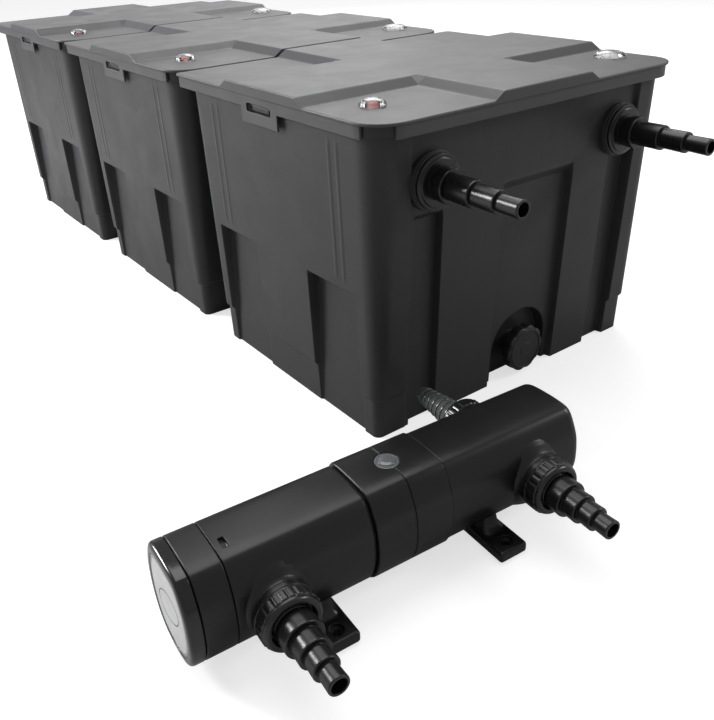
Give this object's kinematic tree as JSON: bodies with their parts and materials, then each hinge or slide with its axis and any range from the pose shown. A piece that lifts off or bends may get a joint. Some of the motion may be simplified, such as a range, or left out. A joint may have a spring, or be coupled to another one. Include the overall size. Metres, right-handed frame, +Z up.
{
  "type": "multi-chamber pond filter",
  "caption": "Gravity-flow pond filter: tapered lidded chambers in a row with stepped hose inlets, linked through their walls, and an inline UV-C clarifier with hose tails.",
  "frame": {"origin": "on the floor, at the middle of the first chamber's underside", "axes": "+X to the right along the inlet face, +Y back along the row of chambers, +Z up"},
  "size_m": [0.8705, 1.7958, 0.425],
  "materials": {
    "shell_plastic": "fine matt grain",
    "lid_plastic": "fine satin grain",
    "gloss_plastic": "glossy",
    "clarifier_plastic": "satin",
    "clear_plastic": "polished",
    "quartz": "polished",
    "smoked_clear": "polished",
    "seal_rubber": "matt",
    "float_red": "glossy",
    "dial_white": "satin",
    "grid_plastic": "matt",
    "foam_blue": "open-cell foam",
    "foam_charcoal": "open-cell foam",
    "mat_green": "coarse tangled fibre",
    "crate_blue": "satin",
    "bio_grey": "matt",
    "lamp_white": "frosted",
    "label_silver": "silvery print"
  },
  "bodies": {
    "chambers": {"tank_1": "shell_plastic", "media_grid_1": "grid_plastic", "tank_2": "shell_plastic", "media_grid_2": "grid_plastic", "tank_3": "shell_plastic", "media_grid_3": "grid_plastic", "inlet_tail_left": "gloss_plastic", "inlet_gasket_left": "seal_rubber", "inlet_nut_left": "gloss_plastic", "link_12_left": "gloss_plastic", "link_23_left": "gloss_plastic", "outlet_pipe_left": "gloss_plastic", "inlet_tail_right": "gloss_plastic", "inlet_gasket_right": "seal_rubber", "inlet_nut_right": "gloss_plastic", "link_12_right": "gloss_plastic", "link_23_right": "gloss_plastic", "outlet_pipe_right": "gloss_plastic", "foam_coarse": "foam_blue", "foam_fine": "foam_charcoal", "mat_lower": "mat_green", "mat_upper": "mat_green", "media_crate": "crate_blue", "bio_media": "bio_grey"},
    "lid_body_1": {"lid_1": "lid_plastic", "dirt_lens_1": "clear_plastic", "thermo_lens_1": "clear_plastic", "thermometer_1": "dial_white"},
    "dirt_float_body_1": {"dirt_float_1": "float_red"},
    "drain_cap_body_1": {"drain_cap_1": "shell_plastic"},
    "lid_body_2": {"lid_2": "lid_plastic", "dirt_lens_2": "clear_plastic", "thermo_lens_2": "clear_plastic", "thermometer_2": "dial_white"},
    "dirt_float_body_2": {"dirt_float_2": "float_red"},
    "drain_cap_body_2": {"drain_cap_2": "shell_plastic"},
    "lid_body_3": {"lid_3": "lid_plastic", "dirt_lens_3": "clear_plastic", "thermo_lens_3": "clear_plastic", "thermometer_3": "dial_white"},
    "dirt_float_body_3": {"dirt_float_3": "float_red"},
    "drain_cap_body_3": {"drain_cap_3": "shell_plastic"},
    "uv_barrel": {"uv_housing_left": "clarifier_plastic", "uv_housing_right": "clarifier_plastic", "uv_band": "clarifier_plastic", "uv_indicator_lens": "clear_plastic", "uv_tail_front_left": "gloss_plastic", "uv_tail_front_right": "gloss_plastic", "uv_tail_rear": "smoked_clear"},
    "uv_head_unit": {"uv_head": "clarifier_plastic", "uv_head_seal": "seal_rubber", "uv_bezel": "gloss_plastic", "uv_label": "label_silver", "uv_cable": "seal_rubber", "uv_lamp": "lamp_white", "uv_quartz_sleeve": "quartz"},
    "uv_plug": {"uv_end_plug": "clarifier_plastic"},
    "uv_nut_body_front_left": {"uv_nut_front_left": "clarifier_plastic"},
    "uv_nut_body_front_right": {"uv_nut_front_right": "clarifier_plastic"},
    "uv_nut_body_rear": {"uv_nut_rear": "clarifier_plastic"}
  },
  "joints": [
    {"name": "lid_1_lift", "type": "slide", "parent": "chambers", "child": "lid_body_1", "axis": [0, 0, 1], "range_m": [0, 0.2]},
    {"name": "dirt_float_1_rise", "type": "slide", "parent": "lid_body_1", "child": "dirt_float_body_1", "axis": [0, 0, 1], "range_m": [0, 0.005]},
    {"name": "drain_cap_1_turn", "type": "hinge", "parent": "chambers", "child": "drain_cap_body_1", "pos_m": [0.022, -0.195, 0.041], "axis": [0, -1, 0], "continuous": true},
    {"name": "lid_2_lift", "type": "slide", "parent": "chambers", "child": "lid_body_2", "axis": [0, 0, 1], "range_m": [0, 0.2]},
    {"name": "dirt_float_2_rise", "type": "slide", "parent": "lid_body_2", "child": "dirt_float_body_2", "axis": [0, 0, 1], "range_m": [0, 0.005]},
    {"name": "drain_cap_2_turn", "type": "hinge", "parent": "chambers", "child": "drain_cap_body_2", "pos_m": [0.022, 0.281, 0.041], "axis": [0, -1, 0], "continuous": true},
    {"name": "lid_3_lift", "type": "slide", "parent": "chambers", "child": "lid_body_3", "axis": [0, 0, 1], "range_m": [0, 0.2]},
    {"name": "dirt_float_3_rise", "type": "slide", "parent": "lid_body_3", "child": "dirt_float_body_3", "axis": [0, 0, 1], "range_m": [0, 0.005]},
    {"name": "drain_cap_3_turn", "type": "hinge", "parent": "chambers", "child": "drain_cap_body_3", "pos_m": [0.022, 0.757, 0.041], "axis": [0, -1, 0], "continuous": true},
    {"name": "clarifier_lift", "type": "slide", "parent": "chambers", "child": "uv_barrel", "axis": [0, 0, 1], "range_m": [0, 0.12]},
    {"name": "lamp_head_draw", "type": "slide", "parent": "uv_barrel", "child": "uv_head_unit", "axis": [-0.9972, 0.075, 0], "range_m": [0, 0.41]},
    {"name": "end_plug_turn", "type": "hinge", "parent": "uv_barrel", "child": "uv_plug", "pos_m": [-0.1433, -0.38449, 0.066], "axis": [0.9972, -0.075, 0], "continuous": true},
    {"name": "uv_nut_front_left_turn", "type": "hinge", "parent": "uv_barrel", "child": "uv_nut_body_front_left", "pos_m": [-0.52348, -0.4261, 0.066], "axis": [-0.075, -0.9972, 0], "continuous": true},
    {"name": "uv_nut_front_right_turn", "type": "hinge", "parent": "uv_barrel", "child": "uv_nut_body_front_right", "pos_m": [-0.21236, -0.44949, 0.066], "axis": [-0.075, -0.9972, 0], "continuous": true},
    {"name": "uv_nut_rear_turn", "type": "hinge", "parent": "uv_barrel", "child": "uv_nut_body_rear", "pos_m": [-0.20187, -0.30989, 0.066], "axis": [0.075, 0.9972, 0], "continuous": true}
  ]
}
